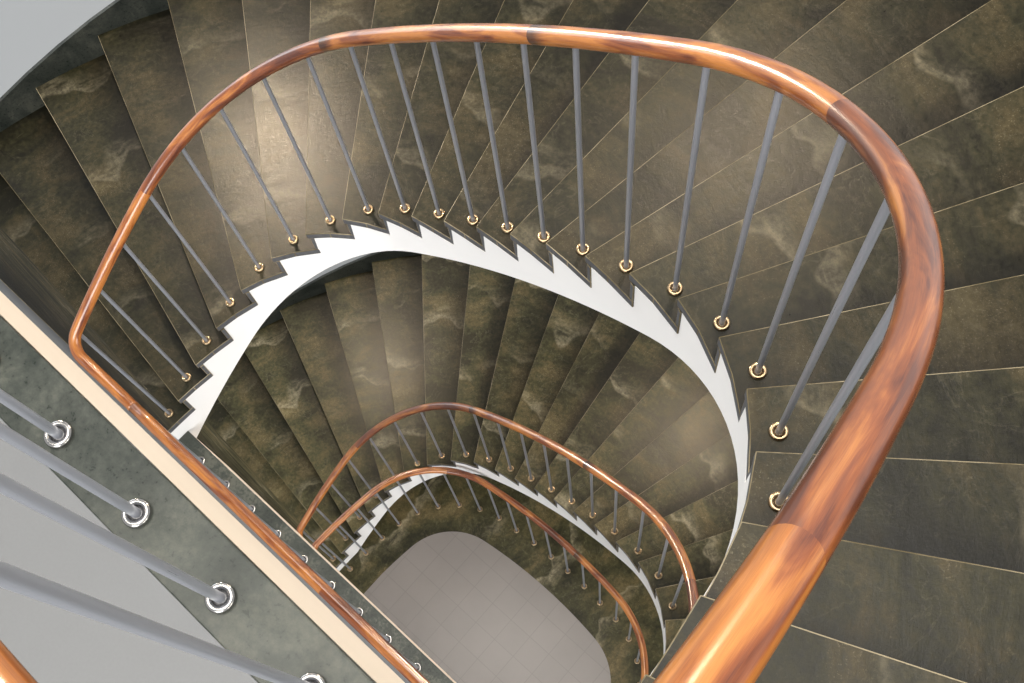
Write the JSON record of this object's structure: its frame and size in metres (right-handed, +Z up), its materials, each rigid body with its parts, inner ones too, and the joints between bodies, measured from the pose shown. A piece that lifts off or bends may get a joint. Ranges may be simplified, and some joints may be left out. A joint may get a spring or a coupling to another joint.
{
  "type": "winding staircase round an open well",
  "caption": "Winding concrete and stone staircase in two stacked half-turn flights round an open well, with landings, steel rods and a continuous wooden handrail.",
  "frame": {"origin": "on the underside of the ground slab, on the well's plane of symmetry, below the middle landing's edge line", "axes": "+Z up, +X along the landing edge from the foot of the flights to their head, +Y from the landings across the well"},
  "size_m": [6.8, 5.409, 8.5239],
  "materials": {
    "concrete": "fair-faced concrete",
    "light_floor": "honed light grey floor stone",
    "dark_stone": "polished dark grey-green stone with pale veins",
    "stair_stone": "honed olive-brown stone with cream veins, sawn edges",
    "white_render": "smooth white-painted render on concrete",
    "cream_render": "smooth cream-painted render",
    "rail_wood": "varnished reddish-brown wood",
    "rod_steel": "brushed",
    "collar_brass": "polished, dulled",
    "collar_steel": "polished"
  },
  "bodies": {
    "root": {"ground_slab": "concrete", "well_floor": "light_floor", "well_border": "dark_stone", "ground_paving": "dark_stone", "lower_risers": "stair_stone", "upper_risers": "stair_stone", "lower_treads": "stair_stone", "upper_treads": "stair_stone", "lower_flight": "white_render", "upper_flight": "white_render", "lower_skirting": "dark_stone", "upper_skirting": "dark_stone", "middle_landing": "white_render", "middle_edge_strip": "dark_stone", "middle_floor": "light_floor", "middle_fascia": "cream_render", "top_landing": "white_render", "top_edge_strip": "dark_stone", "top_floor": "light_floor", "top_fascia": "cream_render", "lower_handrail": "rail_wood", "upper_handrail": "rail_wood", "middle_handrail": "rail_wood", "top_handrail": "rail_wood", "ring_handrail": "rail_wood", "lower_balusters": "rod_steel", "upper_balusters": "rod_steel", "middle_balusters": "rod_steel", "top_balusters": "rod_steel", "ring_balusters": "rod_steel", "lower_collars": "collar_brass", "upper_collars": "collar_brass", "middle_collars": "collar_steel", "top_collars": "collar_steel", "ring_collars": "collar_brass"}
  },
  "joints": []
}
